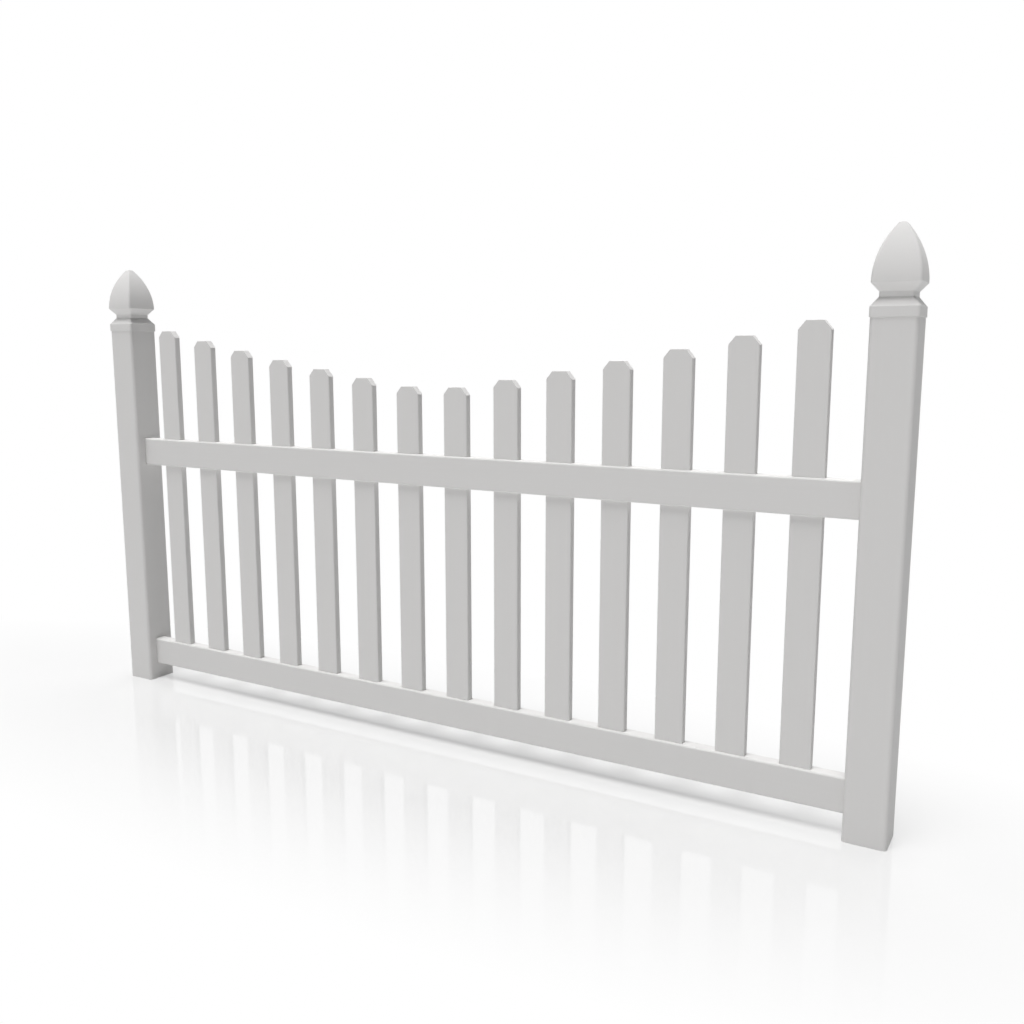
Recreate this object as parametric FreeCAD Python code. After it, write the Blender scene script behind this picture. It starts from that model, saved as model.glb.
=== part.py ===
import FreeCAD, Part
import math
import os

from FreeCAD import Vector

# Scalloped picket fence panel of white vinyl: two square posts with gothic caps, two rails
# routed into the posts, and a row of dog-eared pickets routed through the rails.
# Millimetres. The origin is the centre of the left post's foot, at ground level. +X runs along
# the panel to the right post, +Y away from the viewer, +Z up.

# Panel
POST_SPACING = 2438.4       # between the posts' centre lines, eight feet
PICKET_COUNT = 14
FIT_CLEARANCE = 0.3         # all round a piece that slides into a routed hole or a socket
LEAST_RADIUS = 0.5          # of an inner corner, where a wall is thicker than the outer radius

# Posts, extruded square tube
POST_WIDTH = 101.6
POST_CORNER_RADIUS = 10.0
POST_WALL = 3.4
POST_RISE = 376.8           # of a post's end above the top rail

# Rails, extruded tube
RAIL_HEIGHT = 88.9
RAIL_THICKNESS = 38.1
RAIL_CORNER_RADIUS = 5.5
RAIL_WALL = 2.3
RAIL_INSERTION = 32.0       # from a post's face to the rail's end inside the post
GROUND_GAP = 53.7           # under the bottom rail
RAIL_GAP = 610.7            # between the two rails

# Pickets, extruded tube with a closed dog-eared top
PICKET_WIDTH = 76.2
PICKET_THICKNESS = 22.2
PICKET_CORNER_RADIUS = 4.0
PICKET_WALL = 1.4
MIDDLE_PICKET_RISE = 190.2  # of the middle pickets above the top rail
SCALLOP_RISE = 165.2        # from the middle pickets' tops up to the end ones'
SCALLOP_SAG = 9.7           # of the line of tops below a straight slope, halfway up
DOG_EAR_WIDTH = 18.0        # of each clipped corner
DOG_EAR_HEIGHT = 21.5

# Gothic caps, moulded shell with a skirt over the post's end
CAP_SKIRT_WALL = 1.5
CAP_SKIRT_HEIGHT = 22.5
CAP_LEDGE = 3.5             # over the post's end, at the top of the skirt
CAP_SHOULDER_HEIGHT = 20.5  # of the slope from the skirt up to the neck
CAP_NECK_INSET = 16.1       # from the skirt's side in to the neck's
CAP_NECK_HEIGHT = 11.0
CAP_FLARE_HEIGHT = 19.0     # of the slope from the neck up to the bulb
CAP_BULB_INSET = 1.0        # from the skirt's side in to the bulb's widest line
CAP_BULB_HEIGHT = 127.0     # from that line to the tip
CAP_TIP_WIDTH = 15.0        # of the small flat at the top
CAP_CORNER_RADIUS = 7.0     # along the four ridges, above the skirt
CAP_WALL = 2.2
BULB_SECTIONS = 7           # squares that the bulb's curved sides pass through
CORNER_LIMIT = 0.9          # most of a section's half width that its corners may take

# Heights above the ground
BOTTOM_RAIL_BASE = GROUND_GAP
TOP_RAIL_BASE = BOTTOM_RAIL_BASE + RAIL_HEIGHT + RAIL_GAP
TOP_RAIL_TOP = TOP_RAIL_BASE + RAIL_HEIGHT
POST_HEIGHT = TOP_RAIL_TOP + POST_RISE
CAP_BASE = POST_HEIGHT - CAP_SKIRT_HEIGHT + CAP_LEDGE
PICKET_FOOT = BOTTOM_RAIL_BASE + RAIL_WALL


def rounded_outline(width, depth, radius, z):
    """Closed wire: a rectangle round the Z axis at height z, with rounded corners."""
    bow = radius * math.sqrt(0.5)
    corners = []
    for side_x, side_y in ((1, 1), (-1, 1), (-1, -1), (1, -1)):
        centre = Vector(side_x * (width / 2 - radius), side_y * (depth / 2 - radius), z)
        along_x = centre + Vector(side_x * radius, 0, 0)
        along_y = centre + Vector(0, side_y * radius, 0)
        middle = centre + Vector(side_x * bow, side_y * bow, 0)
        if side_x == side_y:
            corners.append((along_x, middle, along_y))
        else:
            corners.append((along_y, middle, along_x))
    edges = []
    for corner, following in zip(corners, corners[1:] + corners[:1]):
        edges.append(Part.Arc(*corner).toShape())
        edges.append(Part.makeLine(corner[-1], following[0]))
    return Part.Wire(edges)


def rounded_bar(width, depth, radius, base, top):
    """Upright solid bar with rounded long edges, from height base to height top."""
    face = Part.Face(rounded_outline(width, depth, radius, base))
    return face.extrude(Vector(0, 0, top - base))


def inner_radius(radius, wall):
    """Radius inside a rounded corner of a wall."""
    return max(radius - wall, LEAST_RADIUS)


def tube(width, depth, radius, wall, length):
    """Upright tube with rounded long edges, open at both ends, standing on Z = 0."""
    outside = rounded_bar(width, depth, radius, 0, length)
    inside = rounded_bar(
        width - 2 * wall, depth - 2 * wall, inner_radius(radius, wall), 0, length
    )
    return outside.cut(inside)


def laid_along_x(shape):
    """A copy of the shape, turned so that its height runs along +X and its width is upright."""
    turned = shape.copy()
    turned.rotate(Vector(0, 0, 0), Vector(0, 1, 0), 90)
    return turned


def moved(shape, x, z):
    """A copy of the shape, moved along the panel and upwards."""
    copy = shape.copy()
    copy.translate(Vector(x, 0, z))
    return copy


def post(inner_side):
    """Hollow post at X = 0, with a routed hole for each rail in the face towards inner_side."""
    shape = tube(POST_WIDTH, POST_WIDTH, POST_CORNER_RADIUS, POST_WALL, POST_HEIGHT)
    hole = laid_along_x(
        rounded_bar(
            RAIL_HEIGHT + 2 * FIT_CLEARANCE,
            RAIL_THICKNESS + 2 * FIT_CLEARANCE,
            RAIL_CORNER_RADIUS + FIT_CLEARANCE,
            -POST_WALL,
            POST_WALL,
        )
    )
    wall_middle = inner_side * (POST_WIDTH - POST_WALL) / 2
    holes = [
        moved(hole, wall_middle, base + RAIL_HEIGHT / 2)
        for base in (BOTTOM_RAIL_BASE, TOP_RAIL_BASE)
    ]
    return shape.cut(holes)


def cap_section(half_width, radius, z):
    """One square section of a cap."""
    return rounded_outline(2 * half_width, 2 * half_width, radius, z)


def bulb(half_width, base, tip_half_width, tip, radius):
    """Solid gothic bulb, whose four sides start upright and curve in along an arc to the tip."""
    reach = half_width - tip_half_width
    rise = tip - base
    arc_radius = (reach ** 2 + rise ** 2) / (2 * reach)
    turn = math.asin(rise / arc_radius)
    sections = []
    for index in range(BULB_SECTIONS):
        angle = turn * index / (BULB_SECTIONS - 1)
        half = half_width - arc_radius * (1 - math.cos(angle))
        corner = min(radius, CORNER_LIMIT * half)
        sections.append(cap_section(half, corner, base + arc_radius * math.sin(angle)))
    return Part.makeLoft(sections, True, False)


def cap():
    """Hollow gothic cap with its skirt's lower edge at Z = 0."""
    socket_half = POST_WIDTH / 2 + FIT_CLEARANCE
    socket_radius = POST_CORNER_RADIUS + FIT_CLEARANCE
    skirt_half = socket_half + CAP_SKIRT_WALL
    skirt_radius = socket_radius + CAP_SKIRT_WALL
    neck_half = skirt_half - CAP_NECK_INSET
    bulb_half = skirt_half - CAP_BULB_INSET
    tip_half = CAP_TIP_WIDTH / 2
    seat = CAP_SKIRT_HEIGHT - CAP_LEDGE
    neck_base = CAP_SKIRT_HEIGHT + CAP_SHOULDER_HEIGHT
    neck_top = neck_base + CAP_NECK_HEIGHT
    bulb_base = neck_top + CAP_FLARE_HEIGHT
    tip = bulb_base + CAP_BULB_HEIGHT

    outer_sections = [
        cap_section(skirt_half, skirt_radius, 0),
        cap_section(skirt_half, skirt_radius, CAP_SKIRT_HEIGHT),
        cap_section(neck_half, CAP_CORNER_RADIUS, neck_base),
        cap_section(neck_half, CAP_CORNER_RADIUS, neck_top),
        cap_section(bulb_half, CAP_CORNER_RADIUS, bulb_base),
    ]
    outside = Part.makeLoft(outer_sections, True, True).fuse(
        bulb(bulb_half, bulb_base, tip_half, tip, CAP_CORNER_RADIUS)
    )

    hollow_radius = inner_radius(CAP_CORNER_RADIUS, CAP_WALL)
    throat_sections = [
        cap_section(neck_half - CAP_WALL, hollow_radius, seat),
        cap_section(neck_half - CAP_WALL, hollow_radius, neck_top),
        cap_section(bulb_half - CAP_WALL, hollow_radius, bulb_base),
    ]
    throat = Part.makeLoft(throat_sections, True, True)
    bulb_hollow = bulb(
        bulb_half - CAP_WALL, bulb_base, tip_half - CAP_WALL, tip - CAP_WALL, hollow_radius
    )
    socket = rounded_bar(2 * socket_half, 2 * socket_half, socket_radius, 0, seat)
    return outside.cut(socket.fuse([throat, bulb_hollow]))


def picket_centres():
    """Where the pickets stand along the panel, with equal gaps between them and beside the posts."""
    opening = POST_SPACING - POST_WIDTH
    gap = (opening - PICKET_COUNT * PICKET_WIDTH) / (PICKET_COUNT + 1)
    first = POST_WIDTH / 2 + gap + PICKET_WIDTH / 2
    return [first + index * (PICKET_WIDTH + gap) for index in range(PICKET_COUNT)]


def picket_top(index):
    """Height of a picket's top above the ground, on the curve that dips to the panel's middle."""
    steps = (PICKET_COUNT - 1) // 2
    share = 1 - min(index, PICKET_COUNT - 1 - index) / steps
    rise = SCALLOP_RISE * share - 4 * SCALLOP_SAG * share * (1 - share)
    return TOP_RAIL_TOP + MIDDLE_PICKET_RISE + rise


def dog_eared_bar(width, depth, radius, top, ear_width, ear_height):
    """Upright solid bar on Z = 0, with rounded long edges and its two upper corners clipped."""
    x = width / 2
    y = -depth / 2
    outline = [
        Vector(-x, y, 0),
        Vector(x, y, 0),
        Vector(x, y, top - ear_height),
        Vector(x - ear_width, y, top),
        Vector(-x + ear_width, y, top),
        Vector(-x, y, top - ear_height),
    ]
    board = Part.Face(Part.makePolygon(outline + outline[:1])).extrude(Vector(0, depth, 0))
    return board.common(rounded_bar(width, depth, radius, 0, top))


def picket(length):
    """Hollow picket standing on Z = 0, open at its foot, with the same wall at its dog-eared top."""
    slope = math.hypot(DOG_EAR_WIDTH, DOG_EAR_HEIGHT)
    width_share = 1 + (DOG_EAR_WIDTH - slope) / DOG_EAR_HEIGHT
    height_share = 1 + (DOG_EAR_HEIGHT - slope) / DOG_EAR_WIDTH
    outside = dog_eared_bar(
        PICKET_WIDTH, PICKET_THICKNESS, PICKET_CORNER_RADIUS, length, DOG_EAR_WIDTH, DOG_EAR_HEIGHT
    )
    inside = dog_eared_bar(
        PICKET_WIDTH - 2 * PICKET_WALL,
        PICKET_THICKNESS - 2 * PICKET_WALL,
        inner_radius(PICKET_CORNER_RADIUS, PICKET_WALL),
        length - PICKET_WALL,
        DOG_EAR_WIDTH - PICKET_WALL * width_share,
        DOG_EAR_HEIGHT - PICKET_WALL * height_share,
    )
    return outside.cut(inside)


def rail(base, slots_base):
    """Hollow rail between the posts, with a routed slot for each picket above height slots_base."""
    start = POST_WIDTH / 2 - RAIL_INSERTION
    length = POST_SPACING - 2 * start
    shape = laid_along_x(
        tube(RAIL_HEIGHT, RAIL_THICKNESS, RAIL_CORNER_RADIUS, RAIL_WALL, length)
    )
    slot = rounded_bar(
        PICKET_WIDTH + 2 * FIT_CLEARANCE,
        PICKET_THICKNESS + 2 * FIT_CLEARANCE,
        PICKET_CORNER_RADIUS + FIT_CLEARANCE,
        slots_base,
        base + RAIL_HEIGHT,
    )
    slots = [moved(slot, centre, 0) for centre in picket_centres()]
    return moved(shape, start, base + RAIL_HEIGHT / 2).cut(slots)


def save(name, shape):
    """Write one piece under its own name."""
    shape.exportStep("parts/" + name + ".step")


os.makedirs("parts", exist_ok=True)

for name, x, inner_side in (("left_post", 0, 1), ("right_post", POST_SPACING, -1)):
    save(name, moved(post(inner_side), x, 0))
    save(name + "_cap", moved(cap(), x, CAP_BASE))

save("bottom_rail", rail(BOTTOM_RAIL_BASE, PICKET_FOOT))
save("top_rail", rail(TOP_RAIL_BASE, TOP_RAIL_BASE))

for index, centre in enumerate(picket_centres()):
    length = picket_top(index) - PICKET_FOOT
    save("picket_%02d" % (index + 1), moved(picket(length), centre, PICKET_FOOT))
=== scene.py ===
import math

import bmesh
import bpy
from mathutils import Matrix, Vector


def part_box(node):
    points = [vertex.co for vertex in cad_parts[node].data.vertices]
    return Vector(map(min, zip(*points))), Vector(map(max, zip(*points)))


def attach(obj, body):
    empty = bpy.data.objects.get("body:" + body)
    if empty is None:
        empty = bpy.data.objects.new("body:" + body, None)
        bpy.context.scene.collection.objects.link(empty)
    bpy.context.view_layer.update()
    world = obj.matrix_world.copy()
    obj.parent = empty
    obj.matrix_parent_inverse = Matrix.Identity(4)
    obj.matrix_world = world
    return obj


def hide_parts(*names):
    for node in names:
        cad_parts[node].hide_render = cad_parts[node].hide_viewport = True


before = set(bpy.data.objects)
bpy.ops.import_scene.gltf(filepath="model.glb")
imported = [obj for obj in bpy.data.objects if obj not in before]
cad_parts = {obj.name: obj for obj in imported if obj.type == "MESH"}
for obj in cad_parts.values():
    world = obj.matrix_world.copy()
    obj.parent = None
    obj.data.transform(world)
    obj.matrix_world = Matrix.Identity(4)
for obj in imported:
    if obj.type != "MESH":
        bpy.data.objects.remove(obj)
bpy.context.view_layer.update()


# Posts
# Two square tubes of extruded white vinyl that stand on the ground. Each is sawn to length, and
# routed through the wall on its inner face so that the ends of the rails slide in.

MM = 0.001
POST_CORNER = 10.0 * MM
POST_WALL = 3.4 * MM
WALL_REACH = 1.5 * POST_WALL    # from a wall's outer face, to take in its inner face as well
RAIL_CORNER = 5.5 * MM
FIT_CLEARANCE = 0.3 * MM        # all round a piece in its routed hole
WIDE_STEPS = 8                  # facets round a wide corner
NARROW_STEPS = 5                # facets round a narrow one
SAME_PLACE = 0.05 * MM          # closer than this counts as the same place
SAME_WAY = 0.999                # cosine, past which two directions count as the same
SMOOTH_ANGLE = math.radians(32)
UP = Vector((0, 0, 1))
ACROSS = Vector((0, 1, 0))
ALONG = Vector((1, 0, 0))

VINYL_WHITE = "#E2E1E0"
VINYL_SHADE = "#E0DFDE"
VINYL_IOR = 1.53
VINYL_SHINE = 0.3               # specular level: the fine matt skin mirrors less than a polished one
DRAWN_ROUGHNESS = (0.56, 0.64)
DRAW_LINE = 3.0 * MM            # between the lines that the die leaves, coarse enough to show
DRAW_LINE_DETAIL = 3.0          # layers of finer lines among them
DRAW_STRETCH = 0.01             # how slowly they change along the length
DRAW_DEPTH = 0.05 * MM
DRAW_BUMP = 0.08                # share of the depth that shows
WALL_WAVE = 160.0 * MM          # between the slow waves of a thin wall
SLOW_DETAIL = 1.0               # layers of finer variation in a slow pattern


def middle(part):
    """Middle of an edge or a face."""
    return sum((corner.co for corner in part.verts), Vector()) / len(part.verts)


def way(part):
    """Direction of an edge, or outward direction of a face."""
    if isinstance(part, bmesh.types.BMFace):
        return part.normal
    return (part.verts[1].co - part.verts[0].co).normalized()


def runs(part, direction):
    """Whether an edge runs, or a face looks, one way or the other along a direction."""
    return abs(way(part).dot(direction)) > SAME_WAY


def pick(kind, wanted):
    """Select the wanted corners, edges or faces of the piece in edit mode, and nothing else."""
    bpy.ops.mesh.select_mode(type=kind)
    bpy.ops.mesh.select_all(action="DESELECT")
    mesh = bmesh.from_edit_mesh(bpy.context.object.data)
    mesh.normal_update()
    for part in {"VERT": mesh.verts, "EDGE": mesh.edges, "FACE": mesh.faces}[kind]:
        if wanted(part):
            part.select_set(True)
    bmesh.update_edit_mesh(bpy.context.object.data)


def start_block(name, low, high):
    """A block between two corners, left in edit mode to be shaped into a piece."""
    bpy.ops.object.select_all(action="DESELECT")
    bpy.ops.mesh.primitive_cube_add(size=1, location=(low + high) / 2, scale=high - low)
    bpy.ops.object.transform_apply(location=True, rotation=True, scale=True)
    block = bpy.context.object
    block.name = name
    block.data.name = name
    bpy.ops.object.mode_set(mode="EDIT")
    return block


def round_off(radius, steps):
    """Round the selected edges."""
    bpy.ops.mesh.bevel(offset=radius, segments=steps, affect="EDGES", clamp_overlap=False)


def cut(wanted, point, normal):
    """Cut the wanted faces along a plane, and keep both sides."""
    pick("FACE", wanted)
    bpy.ops.mesh.bisect(plane_co=point, plane_no=normal)


def open_through(wanted):
    """Turn the two wanted faces, on the two sides of a wall, into a hole through it."""
    pick("FACE", wanted)
    bpy.ops.mesh.bridge_edge_loops()


def draw_tube(name, node, direction, corner, wall, steps):
    """A tube as it leaves the die: rounded along its length, and hollow from end to end."""
    low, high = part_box(node)
    tube = start_block(name, low, high)
    pick("EDGE", lambda edge: runs(edge, direction))
    round_off(corner, steps)
    pick("FACE", lambda face: runs(face, direction))
    bpy.ops.mesh.inset(thickness=wall)
    bpy.ops.mesh.bridge_edge_loops()
    return tube


def stand_for(piece, node):
    """Let a piece stand for its node. Nothing on the panel moves, so all of it rides on the root."""
    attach(piece, "root")
    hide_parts(node)


def finish_piece(piece, node, material):
    """Smooth the rounded edges, keep the flats flat, and let the piece stand for its node."""
    bpy.ops.mesh.select_all(action="SELECT")
    bpy.ops.mesh.normals_make_consistent(inside=False)
    bpy.ops.object.mode_set(mode="OBJECT")
    bpy.ops.object.shade_smooth_by_angle(angle=SMOOTH_ANGLE)
    bpy.ops.object.modifier_add(type="WEIGHTED_NORMAL")
    piece.modifiers[-1].keep_sharp = True
    bpy.ops.object.modifier_apply(modifier=piece.modifiers[-1].name)
    piece.data.materials.append(material)
    stand_for(piece, node)


def select_alone(piece):
    """Select one piece, and nothing else."""
    bpy.ops.object.select_all(action="DESELECT")
    piece.select_set(True)
    bpy.context.view_layer.objects.active = piece


def copy_piece(piece, name):
    """A copy of a piece with a mesh of its own, selected by itself."""
    select_alone(piece)
    bpy.ops.object.duplicate()
    copy = bpy.context.object
    copy.name = name
    copy.data.name = name
    return copy


def linear(hex_colour):
    """A colour written as an sRGB hex value, as the linear RGBA that a shader takes."""
    channels = [int(hex_colour[start:start + 2], 16) / 255 for start in (1, 3, 5)]
    return [c / 12.92 if c <= 0.04045 else ((c + 0.055) / 1.055) ** 2.4 for c in channels] + [1.0]


def add_node(tree, kind, settings, inputs):
    """Add a shader node with its settings. Its inputs are values, or outputs of other nodes."""
    node = tree.nodes.new(kind)
    for name, value in settings.items():
        setattr(node, name, value)
    for name, value in inputs.items():
        if isinstance(value, bpy.types.NodeSocket):
            tree.links.new(value, node.inputs[name])
        else:
            node.inputs[name].default_value = value
    return node


def start_vinyl(name):
    """Rigid vinyl with its sheen but no pattern yet, and the coordinates that a pattern reads."""
    material = bpy.data.materials.new(name)
    material.use_nodes = True
    tree = material.node_tree
    shader = tree.nodes["Principled BSDF"]
    shader.inputs["IOR"].default_value = VINYL_IOR
    shader.inputs["Specular IOR Level"].default_value = VINYL_SHINE
    place = add_node(tree, "ShaderNodeTexCoord", {}, {}).outputs["Object"]
    return material, place


def finish_vinyl(material, tint, gloss, roughness, relief, depth, bump):
    """Let one pattern tint the white, one vary the roughness, and one raise the surface."""
    tree = material.node_tree
    shader = tree.nodes["Principled BSDF"]
    white = add_node(
        tree,
        "ShaderNodeMix",
        {"data_type": "RGBA"},
        {0: tint, 6: linear(VINYL_SHADE), 7: linear(VINYL_WHITE)},
    )
    tree.links.new(white.outputs[2], shader.inputs["Base Color"])
    skin = add_node(
        tree,
        "ShaderNodeMapRange",
        {},
        {"Value": gloss, "To Min": roughness[0], "To Max": roughness[1]},
    )
    tree.links.new(skin.outputs["Result"], shader.inputs["Roughness"])
    raised = add_node(
        tree, "ShaderNodeBump", {}, {"Height": relief, "Strength": bump, "Distance": depth}
    )
    tree.links.new(raised.outputs["Normal"], shader.inputs["Normal"])


def extruded_vinyl(name, direction):
    """White rigid vinyl drawn through a die: a low, even sheen, with faint draw lines along its
    length and slow waves where the thin wall cooled unevenly."""
    material, place = start_vinyl(name)
    tree = material.node_tree
    stretch = [DRAW_STRETCH if part else 1.0 for part in direction]
    drawn = add_node(tree, "ShaderNodeMapping", {}, {"Vector": place, "Scale": stretch})
    lines = add_node(
        tree,
        "ShaderNodeTexNoise",
        {},
        {"Vector": drawn.outputs["Vector"], "Scale": 1 / DRAW_LINE, "Detail": DRAW_LINE_DETAIL},
    ).outputs["Fac"]
    waves = add_node(
        tree,
        "ShaderNodeTexNoise",
        {},
        {"Vector": place, "Scale": 1 / WALL_WAVE, "Detail": SLOW_DETAIL},
    ).outputs["Fac"]
    finish_vinyl(
        material,
        tint=lines,
        gloss=waves,
        roughness=DRAWN_ROUGHNESS,
        relief=lines,
        depth=DRAW_DEPTH,
        bump=DRAW_BUMP,
    )
    return material


def rout_rail_hole(rail):
    """Rout a hole for the end of a rail through the left post's inner wall."""
    rail_low, rail_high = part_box(rail)
    hole_low = rail_low.z - FIT_CLEARANCE
    hole_high = rail_high.z + FIT_CLEARANCE
    hole_half = rail_high.y + FIT_CLEARANCE
    post_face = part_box("left_post")[1].x

    def in_band(face):
        """On the two sides of the inner wall, at the rail's height."""
        at = middle(face)
        beside = abs(at.x - post_face) < WALL_REACH
        return runs(face, ALONG) and beside and hole_low < at.z < hole_high

    def at_hole_corner(edge):
        """Through the wall, at one of the hole's four corners."""
        at = middle(edge)
        height = min(abs(at.z - hole_low), abs(at.z - hole_high))
        return runs(edge, ALONG) and max(height, abs(abs(at.y) - hole_half)) < SAME_PLACE

    for height in (hole_low, hole_high):
        cut(lambda face: True, (0, 0, height), UP)
    for side in (-hole_half, hole_half):
        cut(in_band, (0, side, 0), ACROSS)
    open_through(lambda face: in_band(face) and abs(middle(face).y) < SAME_PLACE)
    pick("EDGE", at_hole_corner)
    round_off(RAIL_CORNER + FIT_CLEARANCE, NARROW_STEPS)


upright_vinyl = extruded_vinyl("extruded_white_vinyl_upright", UP)

left_post = draw_tube("left_post_tube", "left_post", UP, POST_CORNER, POST_WALL, WIDE_STEPS)
rout_rail_hole("bottom_rail")
rout_rail_hole("top_rail")
finish_piece(left_post, "left_post", upright_vinyl)

right_post = copy_piece(left_post, "right_post_tube")
panel_middle = (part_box("left_post")[0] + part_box("right_post")[1]) / 2
bpy.ops.transform.rotate(value=math.pi, orient_axis="Z", center_override=panel_middle)
bpy.ops.object.transform_apply(location=True, rotation=True, scale=True)
stand_for(right_post, "right_post")


# Rails
# Two tubes of the same vinyl, laid on edge between the posts. The upper wall of each is routed
# with a slot for every picket, and the top rail's lower wall as well, so that they pass through.

RAIL_WALL = 2.3 * MM
PICKET_CORNER = 4.0 * MM
picket_nodes = sorted(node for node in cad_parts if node.startswith("picket_"))
slot_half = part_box(picket_nodes[0])[1].y + FIT_CLEARANCE
level_vinyl = extruded_vinyl("extruded_white_vinyl_level", ALONG)


def rout_slots(wall_middle):
    """Rout a slot for every picket through the level wall at a height."""

    def in_wall(face):
        """On the two sides of the wall."""
        return runs(face, UP) and abs(middle(face).z - wall_middle) < RAIL_WALL

    def in_strip(face):
        """On the two sides of the wall, along its middle."""
        return in_wall(face) and abs(middle(face).y) < slot_half

    def at_slot_corner(edge):
        """Through the wall, at a corner of a slot."""
        at = middle(edge)
        off_side = abs(abs(at.y) - slot_half)
        return runs(edge, UP) and max(abs(at.z - wall_middle), off_side) < SAME_PLACE

    for side in (-slot_half, slot_half):
        cut(in_wall, (0, side, 0), ACROSS)
    for node in picket_nodes:
        picket_low, picket_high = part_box(node)
        left = picket_low.x - FIT_CLEARANCE
        right = picket_high.x + FIT_CLEARANCE
        for end in (left, right):
            cut(in_strip, (end, 0, 0), ALONG)
        open_through(lambda face: in_strip(face) and left < middle(face).x < right)
    pick("EDGE", at_slot_corner)
    round_off(PICKET_CORNER + FIT_CLEARANCE, NARROW_STEPS)


for node, routed_below in (("bottom_rail", False), ("top_rail", True)):
    rail = draw_tube(node + "_tube", node, ALONG, RAIL_CORNER, RAIL_WALL, NARROW_STEPS)
    rail_low, rail_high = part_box(node)
    rout_slots(rail_high.z - RAIL_WALL / 2)
    if routed_below:
        rout_slots(rail_low.z + RAIL_WALL / 2)
    finish_piece(rail, node, level_vinyl)


# Pickets
# Flat vinyl tubes that drop through the top rail's slots and stand on the bottom rail's floor.
# Their tops are closed, with both corners sawn off, and they get shorter towards the middle.

PICKET_WALL = 1.4 * MM
DOG_EAR_WIDTH = 18.0 * MM
DOG_EAR_HEIGHT = 21.5 * MM
SAWN_EDGE = 0.8 * MM            # softness of the edges round the closed top
EDGE_STEPS = 2                  # facets across a softened edge
TOPWARD = 0.3                   # upward part of a normal, past which a face is of the closed top


def rims_top(edge):
    """Between the closed top and the sides of the picket."""
    return sorted(face.normal.z > TOPWARD for face in edge.link_faces) == [False, True]


first_low, first_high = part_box(picket_nodes[0])
first_picket = start_block(picket_nodes[0] + "_tube", first_low, first_high)
pick("EDGE", lambda edge: runs(edge, UP))
round_off(PICKET_CORNER, NARROW_STEPS)
for side, edge_x in ((-1, first_low.x), (1, first_high.x)):
    bpy.ops.mesh.select_all(action="SELECT")
    bpy.ops.mesh.bisect(
        plane_co=(edge_x, 0, first_high.z - DOG_EAR_HEIGHT),
        plane_no=(side * DOG_EAR_HEIGHT, 0, DOG_EAR_WIDTH),
        use_fill=True,
        clear_outer=True,
    )
pick("EDGE", rims_top)
round_off(SAWN_EDGE, EDGE_STEPS)
pick("FACE", lambda face: way(face).z < -SAME_WAY)
bpy.ops.mesh.inset(thickness=PICKET_WALL)
hollow_rise = first_high.z - first_low.z - DOG_EAR_HEIGHT
hollow_half = (first_high.x - first_low.x) / 2 - PICKET_WALL
ear_rise = DOG_EAR_HEIGHT - PICKET_WALL
bpy.ops.mesh.extrude_region_move(TRANSFORM_OT_translate={"value": (0, 0, hollow_rise)})
bpy.ops.mesh.extrude_region_move(TRANSFORM_OT_translate={"value": (0, 0, ear_rise)})
bpy.ops.transform.resize(
    value=(1 - DOG_EAR_WIDTH / hollow_half, 1, 1), center_override=(first_low + first_high) / 2
)
bpy.ops.object.mode_set(mode="OBJECT")

pickets = [first_picket]
for node in picket_nodes[1:]:
    low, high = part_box(node)
    picket = copy_piece(first_picket, node + "_tube")
    bpy.ops.transform.translate(value=(low.x - first_low.x, 0, 0))
    bpy.ops.object.transform_apply(location=True, rotation=True, scale=True)
    bpy.ops.object.mode_set(mode="EDIT")
    pick("VERT", lambda corner: corner.co.z > (low.z + high.z) / 2)
    bpy.ops.transform.translate(value=(0, 0, high.z - first_high.z))
    bpy.ops.object.mode_set(mode="OBJECT")
    pickets.append(picket)
for picket, node in zip(pickets, picket_nodes):
    select_alone(picket)
    bpy.ops.object.mode_set(mode="EDIT")
    finish_piece(picket, node, upright_vinyl)


# Post caps
# Gothic caps moulded hollow in white vinyl, and pushed over the posts' ends: a skirt, a shoulder
# in to a narrow neck, a flare out to the bulb, and four curved sides that close on a small flat.

CAP_SKIRT_WALL = 1.5 * MM
CAP_SKIRT_HEIGHT = 22.5 * MM
CAP_LEDGE = 3.5 * MM            # over the post's end
CAP_SHOULDER_HEIGHT = 20.5 * MM
CAP_NECK_INSET = 16.1 * MM
CAP_NECK_HEIGHT = 11.0 * MM
CAP_FLARE_HEIGHT = 19.0 * MM
CAP_TIP_WIDTH = 15.0 * MM
CAP_CORNER = 8.0 * MM           # at the skirt, and in proportion to the width above it
CAP_WALL = 2.2 * MM
MOULDED_EDGE = 0.8 * MM         # softness of the level edges
BULB_STEPS = 18

MOULDED_ROUGHNESS = (0.50, 0.58)
GRAIN = 1.5 * MM                # of the mould's fine texture, coarse enough to show
GRAIN_DETAIL = 2.0              # layers of finer grain
GRAIN_DEPTH = 0.03 * MM
GRAIN_BUMP = 0.12               # share of the depth that shows
SINK_MARK = 30.0 * MM           # between the slow sink marks


def moulded_vinyl(name):
    """White vinyl from a mould: even in colour, a little glossier than the drawn tubes, with a fine
    grain and slow sink marks."""
    material, place = start_vinyl(name)
    tree = material.node_tree
    grain = add_node(
        tree,
        "ShaderNodeTexNoise",
        {},
        {"Vector": place, "Scale": 1 / GRAIN, "Detail": GRAIN_DETAIL},
    ).outputs["Fac"]
    sinks = add_node(
        tree,
        "ShaderNodeTexNoise",
        {},
        {"Vector": place, "Scale": 1 / SINK_MARK, "Detail": SLOW_DETAIL},
    ).outputs["Fac"]
    finish_vinyl(
        material,
        tint=sinks,
        gloss=sinks,
        roughness=MOULDED_ROUGHNESS,
        relief=grain,
        depth=GRAIN_DEPTH,
        bump=GRAIN_BUMP,
    )
    return material


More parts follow.
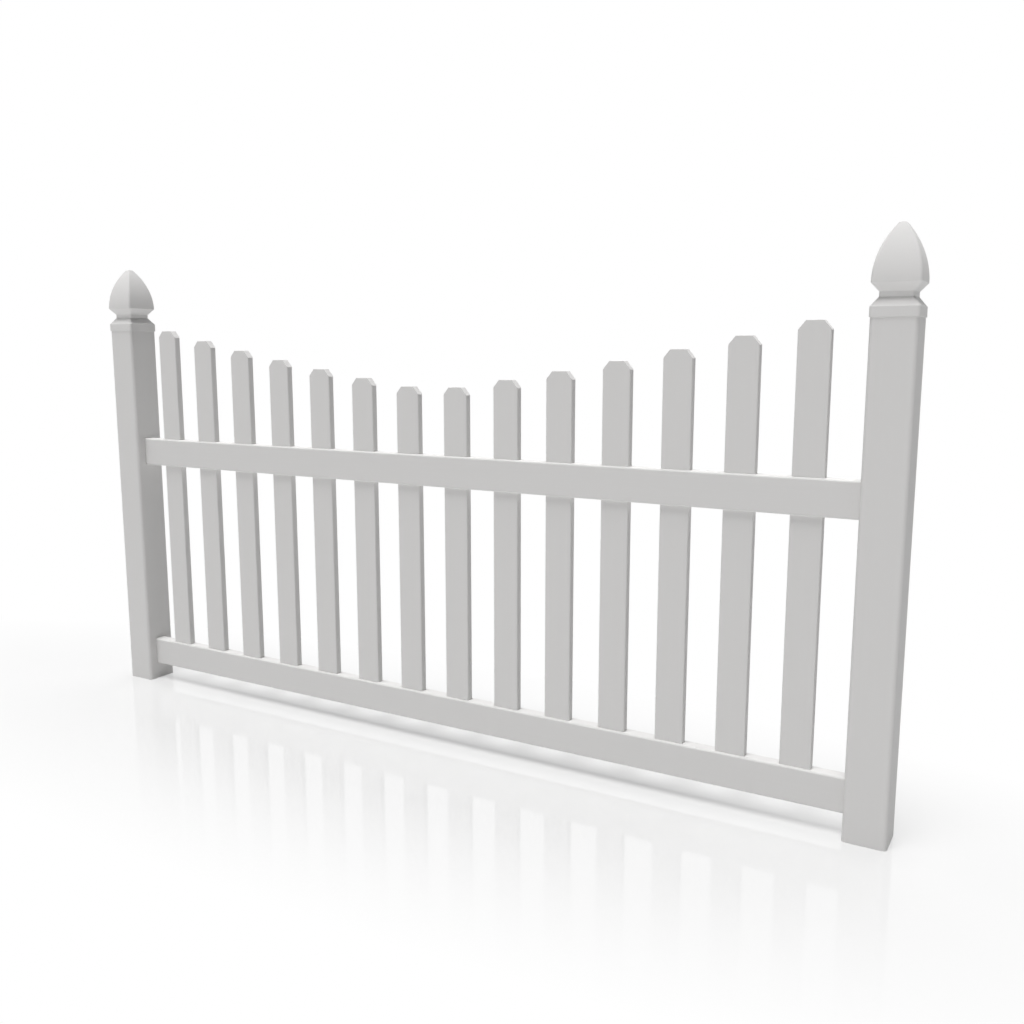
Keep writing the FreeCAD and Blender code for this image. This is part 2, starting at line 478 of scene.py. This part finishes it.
cap_low, cap_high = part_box("left_post_cap")
cap_axis = (cap_low + cap_high) / 2
skirt_half = (cap_high.x - cap_low.x) / 2
neck_half = skirt_half - CAP_NECK_INSET
throat_half = neck_half - CAP_WALL
tip_half = CAP_TIP_WIDTH / 2
skirt_top = cap_low.z + CAP_SKIRT_HEIGHT
ledge = skirt_top - CAP_LEDGE
neck_base = skirt_top + CAP_SHOULDER_HEIGHT
neck_top = neck_base + CAP_NECK_HEIGHT
bulb_base = neck_top + CAP_FLARE_HEIGHT
bulb_reach = skirt_half - tip_half
bulb_rise = cap_high.z - bulb_base
bulb_radius = (bulb_reach ** 2 + bulb_rise ** 2) / (2 * bulb_reach)
bulb_turn = math.asin(bulb_rise / bulb_radius)

outside = [(skirt_top, skirt_half), (neck_base, neck_half), (neck_top, neck_half)]
inside = [(ledge, skirt_half - CAP_SKIRT_WALL), (ledge, throat_half), (neck_top, throat_half)]
for step in range(BULB_STEPS + 1):
    angle = bulb_turn * step / BULB_STEPS
    height = bulb_base + bulb_radius * math.sin(angle)
    half = skirt_half - bulb_radius * (1 - math.cos(angle))
    way_up = (height - bulb_base) / bulb_rise
    outside.append((height, half))
    inside.append((height - way_up * CAP_WALL, half - CAP_WALL))
crisp_heights = (cap_low.z, skirt_top, neck_base, neck_top, bulb_base, cap_high.z)


def draw_up(stations):
    """Raise the selected face of the cap from station to station, each a height and a half width."""
    for (height_before, half_before), (height, half) in zip(stations, stations[1:]):
        rise = (0, 0, height - height_before)
        share = half / half_before
        bpy.ops.mesh.extrude_region_move(TRANSFORM_OT_translate={"value": rise})
        bpy.ops.transform.resize(value=(share, share, 1), center_override=cap_axis)


def is_crisp(edge):
    """Level, at a height where the sides of the cap change direction."""
    off_height = min(abs(middle(edge).z - height) for height in crisp_heights)
    return abs(way(edge).z) < 1 - SAME_WAY and off_height < SAME_PLACE


left_cap = start_block(
    "left_post_cap_shell", cap_low, Vector((cap_high.x, cap_high.y, skirt_top))
)
pick("EDGE", lambda edge: runs(edge, UP))
round_off(CAP_CORNER, NARROW_STEPS)
pick("FACE", lambda face: way(face).z > SAME_WAY)
draw_up(outside)
pick("EDGE", is_crisp)
round_off(MOULDED_EDGE, EDGE_STEPS)
pick("FACE", lambda face: way(face).z < -SAME_WAY and middle(face).z < cap_low.z + SAME_PLACE)
bpy.ops.mesh.inset(thickness=CAP_SKIRT_WALL - MOULDED_EDGE)
bpy.ops.mesh.extrude_region_move(
    TRANSFORM_OT_translate={"value": (0, 0, CAP_SKIRT_HEIGHT - CAP_LEDGE)}
)
draw_up(inside)
cap_vinyl = moulded_vinyl("moulded_white_vinyl_cap")
finish_piece(left_cap, "left_post_cap", cap_vinyl)

right_cap = copy_piece(left_cap, "right_post_cap_shell")
bpy.ops.transform.translate(value=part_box("right_post_cap")[0] - cap_low)
bpy.ops.object.transform_apply(location=True, rotation=True, scale=True)
stand_for(right_cap, "right_post_cap")


# Floor
# A level studio floor in white paint, polished enough to show a faint reflection in front of the
# panel. Away from the panel it fades to the same plain white as the room behind.

FLOOR_SIZE = 80.0
FLOOR_WHITE = "#DCDCDC"
PLAIN_WHITE = "#FFFFFF"
FLOOR_HALF_LENGTH = 2.6         # past this the floor is plain white, and so is the room behind it
FLOOR_HALF_DEPTH = 0.8
FLOOR_FORWARD = -0.12           # more of the shaded floor lies in front of the panel
FLOOR_ROUGHNESS = 0.06
REFLECTION = 0.20               # share of the light mirrored at the panel's foot
REFLECTION_WHOLE = 0.6          # nearness, from 0 at the edge to 1, where all of it shows
PLAIN_SHARE = 0.2               # of plain white that is left at the panel's foot
PLAIN_LEAST = 0.7               # nearness where no more than that is left


def seen_by_eye(tree):
    """1 for what is looked at straight, in a gloss or through glass, and 0 for light on its way."""
    rays = add_node(tree, "ShaderNodeLightPath", {}, {}).outputs
    direct = add_node(
        tree,
        "ShaderNodeMath",
        {"operation": "MAXIMUM"},
        {0: rays["Is Camera Ray"], 1: rays["Is Glossy Ray"]},
    )
    seen = add_node(
        tree,
        "ShaderNodeMath",
        {"operation": "MAXIMUM"},
        {0: direct.outputs["Value"], 1: rays["Is Transmission Ray"]},
    )
    return seen.outputs["Value"]


bpy.ops.object.select_all(action="DESELECT")
bpy.ops.mesh.primitive_plane_add(size=FLOOR_SIZE)
floor = bpy.context.object
floor.name = "studio_floor"
floor_paint = bpy.data.materials.new("white_studio_floor")
floor_paint.use_nodes = True
tree = floor_paint.node_tree
tree.nodes.remove(tree.nodes["Principled BSDF"])
place = add_node(tree, "ShaderNodeTexCoord", {}, {}).outputs["Object"]
spot = add_node(
    tree,
    "ShaderNodeMapping",
    {"vector_type": "TEXTURE"},
    {
        "Vector": place,
        "Location": (panel_middle.x, FLOOR_FORWARD, 0),
        "Scale": (FLOOR_HALF_LENGTH, FLOOR_HALF_DEPTH, 1),
    },
)
near = add_node(
    tree,
    "ShaderNodeTexGradient",
    {"gradient_type": "SPHERICAL"},
    {"Vector": spot.outputs["Vector"]},
).outputs["Fac"]
mirrored = add_node(
    tree,
    "ShaderNodeMapRange",
    {},
    {"Value": near, "From Max": REFLECTION_WHOLE, "To Max": REFLECTION},
)
faded = add_node(
    tree,
    "ShaderNodeMapRange",
    {},
    {"Value": near, "From Max": PLAIN_LEAST, "To Min": 1.0, "To Max": PLAIN_SHARE},
)
paint = add_node(tree, "ShaderNodeBsdfDiffuse", {}, {"Color": linear(FLOOR_WHITE)})
polish = add_node(
    tree,
    "ShaderNodeBsdfGlossy",
    {},
    {"Color": linear(PLAIN_WHITE), "Roughness": FLOOR_ROUGHNESS},
)
surface = add_node(
    tree,
    "ShaderNodeMixShader",
    {},
    {0: mirrored.outputs["Result"], 1: paint.outputs["BSDF"], 2: polish.outputs["BSDF"]},
)
plain = add_node(
    tree,
    "ShaderNodeMath",
    {"operation": "MULTIPLY"},
    {0: seen_by_eye(tree), 1: faded.outputs["Result"]},
)
white = add_node(
    tree, "ShaderNodeEmission", {}, {"Color": linear(PLAIN_WHITE), "Strength": 1.0}
)
whole = add_node(
    tree,
    "ShaderNodeMixShader",
    {},
    {0: plain.outputs["Value"], 1: surface.outputs["Shader"], 2: white.outputs["Emission"]},
)
tree.links.new(whole.outputs["Shader"], tree.nodes["Material Output"].inputs["Surface"])
floor.data.materials.append(floor_paint)


# Light
# Two soft lights from above: one straight down, and one a little from the front that draws the
# shadows under the rails and caps. A weaker one stands behind the panel and a low one in front, the
# pale floor throws much of it back up, and the room behind is plain white.

def soft_light(name, elevation, compass, spread, strength):
    """A light wide enough to cast soft shadows, and far enough off to be even all over. It isn't
    mirrored, so that the floor shows no bright patch from any side. Its angles are in degrees."""
    lamp = bpy.data.lights.new(name, "SUN")
    lamp.angle = math.radians(spread)
    lamp.energy = strength
    holder = bpy.data.objects.new(name, lamp)
    holder.rotation_euler = (math.radians(90 - elevation), 0, math.radians(compass))
    holder.visible_glossy = False
    bpy.context.scene.collection.objects.link(holder)


soft_light("overhead_light", elevation=90, compass=0, spread=10, strength=1.15)
soft_light("steep_light", elevation=76, compass=-10, spread=22, strength=2.00)
soft_light("back_light", elevation=60, compass=180, spread=40, strength=0.75)
soft_light("front_light", elevation=8, compass=-10, spread=40, strength=0.60)

world = bpy.data.worlds.new("white_room")
bpy.context.scene.world = world
world.use_nodes = True
room = world.node_tree
room.nodes["Background"].inputs["Color"].default_value = linear(PLAIN_WHITE)
room.links.new(seen_by_eye(room), room.nodes["Background"].inputs["Strength"])
bpy.context.scene.view_settings.view_transform = "Standard"


# Camera
# It stands in front of the panel at about chest height, a little past the right post, and looks
# back along the panel and slightly down.

CAMERA_PLACE = (2.8063, -2.3091, 1.1174)
CAMERA_TURN = 0.5229            # radians to the left of straight at the panel
CAMERA_TILT = 0.1558            # radians down from level
CAMERA_SENSOR = 36.0            # mm
CAMERA_LENS = 34.90             # mm

lens = bpy.data.cameras.new("camera")
lens.sensor_width = CAMERA_SENSOR
lens.lens = CAMERA_LENS
camera = bpy.data.objects.new("camera", lens)
camera.location = CAMERA_PLACE
camera.rotation_euler = (math.pi / 2 - CAMERA_TILT, 0, CAMERA_TURN)
bpy.context.scene.collection.objects.link(camera)
bpy.context.scene.camera = camera
